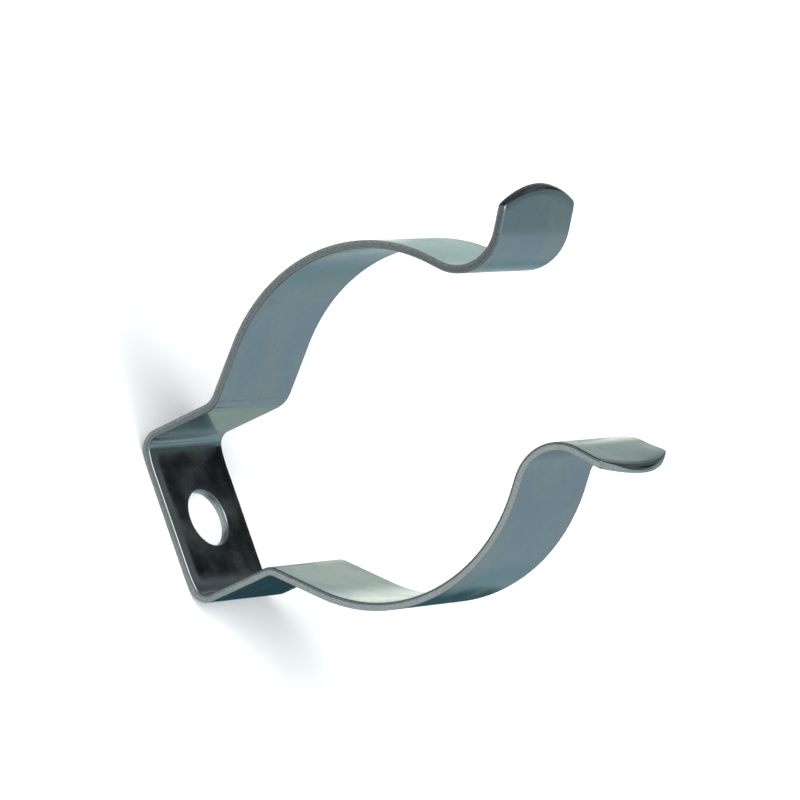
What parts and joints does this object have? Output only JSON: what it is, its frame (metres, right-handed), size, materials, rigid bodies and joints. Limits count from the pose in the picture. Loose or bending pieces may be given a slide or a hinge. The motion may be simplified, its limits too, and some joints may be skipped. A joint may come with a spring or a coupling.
{
  "type": "conduit spring clip",
  "caption": "Bent strip-steel spring clip: flat base with a screw hole, short legs, round gripping arms and flared lips that let a conduit snap in.",
  "frame": {"origin": "on the screw hole's axis, at the underside of the base", "axes": "+Z along the screw hole's axis, out of the base towards the mouth; Y along the strip's width, which is the conduit's axis; X from arm to arm"},
  "size_m": [0.0332, 0.0116, 0.0472],
  "materials": {
    "zinc_plated_steel": "satin bright zinc plate with a faint blue-grey passivation, sheared edges a little rough"
  },
  "bodies": {
    "root": {"spring_clip": "zinc_plated_steel"}
  },
  "joints": []
}
